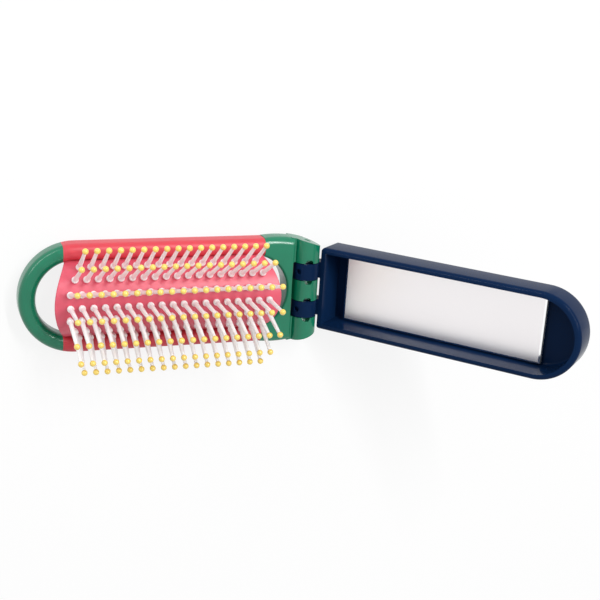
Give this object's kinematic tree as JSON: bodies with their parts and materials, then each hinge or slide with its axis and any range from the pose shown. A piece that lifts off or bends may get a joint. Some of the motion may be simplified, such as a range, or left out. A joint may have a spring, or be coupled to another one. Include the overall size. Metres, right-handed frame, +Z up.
{
  "type": "folding pop-up hairbrush with mirror",
  "caption": "Pocket hairbrush: green frame with hanging loop, soft rose pad of ball-tipped bristles that folds flat, and a hinged navy lid that holds a mirror and closes over the bristles.",
  "frame": {"origin": "on the surface the brush lies on, at the middle of the whole length with the lid open", "axes": "+X from the hanging loop towards the lid, +Z up out of the bristle side, +Y to the left of the bristle field"},
  "size_m": [0.1818, 0.0444, 0.0829],
  "materials": {
    "green_plastic": "glossy moulded",
    "red_rubber": "satin",
    "rose_rubber": "satin",
    "pin_steel": "plain drawn wire",
    "white_nylon": "smooth",
    "yellow_nylon": "dipped ball",
    "navy_plastic": "glossy moulded",
    "mirror_glass": "silvered",
    "tape_foam": "thin adhesive foam"
  },
  "bodies": {
    "brush": {"brush_frame": "green_plastic", "side_sleeve_left": "red_rubber", "side_sleeve_right": "red_rubber", "popup_pad": "rose_rubber", "hinge_pin": "pin_steel"},
    "row_1": {"pin_row_1": "white_nylon", "tip_row_1": "yellow_nylon"},
    "row_2": {"pin_row_2": "white_nylon", "tip_row_2": "yellow_nylon"},
    "row_3": {"pin_row_3": "white_nylon", "tip_row_3": "yellow_nylon"},
    "row_4": {"pin_row_4": "white_nylon", "tip_row_4": "yellow_nylon"},
    "row_5": {"pin_row_5": "white_nylon", "tip_row_5": "yellow_nylon"},
    "row_6": {"pin_row_6": "white_nylon", "tip_row_6": "yellow_nylon"},
    "row_7": {"pin_row_7": "white_nylon", "tip_row_7": "yellow_nylon"},
    "lid": {"lid_shell": "navy_plastic", "mirror_plate": "mirror_glass", "mirror_tape": "tape_foam"}
  },
  "joints": [
    {"name": "lid_hinge", "type": "hinge", "parent": "brush", "child": "lid", "pos_m": [0.01276, 0, 0.0065], "axis": [0, 1, 0], "range_deg": [-130.4, 0], "deforming": ["popup_pad"]},
    {"name": "row_1_lean", "type": "hinge", "parent": "brush", "child": "row_1", "pos_m": [0, 0.02371, 0.00613], "axis": [1, 0, 0], "range_deg": [0, 44.51]},
    {"name": "row_2_lean", "type": "hinge", "parent": "brush", "child": "row_2", "pos_m": [0, 0.02993, 0.00788], "axis": [1, 0, 0], "range_deg": [0, 34.01]},
    {"name": "row_3_lean", "type": "hinge", "parent": "brush", "child": "row_3", "pos_m": [0, 0.05101, 0.00903], "axis": [1, 0, 0], "range_deg": [0, 18.51]},
    {"name": "row_4_drop", "type": "slide", "parent": "brush", "child": "row_4", "axis": [0, 0, -1], "range_m": [0, 0.01587]},
    {"name": "row_5_lean", "type": "hinge", "parent": "brush", "child": "row_5", "pos_m": [0, -0.05101, 0.00903], "axis": [-1, 0, 0], "range_deg": [0, 18.51]},
    {"name": "row_6_lean", "type": "hinge", "parent": "brush", "child": "row_6", "pos_m": [0, -0.02993, 0.00788], "axis": [-1, 0, 0], "range_deg": [0, 34.01]},
    {"name": "row_7_lean", "type": "hinge", "parent": "brush", "child": "row_7", "pos_m": [0, -0.02371, 0.00613], "axis": [-1, 0, 0], "range_deg": [0, 44.51]}
  ],
  "couplings": [
    {"joint": "row_1_lean", "follows": "lid_hinge", "ratio": -0.34126},
    {"joint": "row_2_lean", "follows": "lid_hinge", "ratio": -0.26074},
    {"joint": "row_3_lean", "follows": "lid_hinge", "ratio": -0.14187},
    {"joint": "row_4_drop", "follows": "lid_hinge", "m_per_rad": -0.0069684},
    {"joint": "row_5_lean", "follows": "lid_hinge", "ratio": -0.14187},
    {"joint": "row_6_lean", "follows": "lid_hinge", "ratio": -0.26074},
    {"joint": "row_7_lean", "follows": "lid_hinge", "ratio": -0.34126}
  ]
}
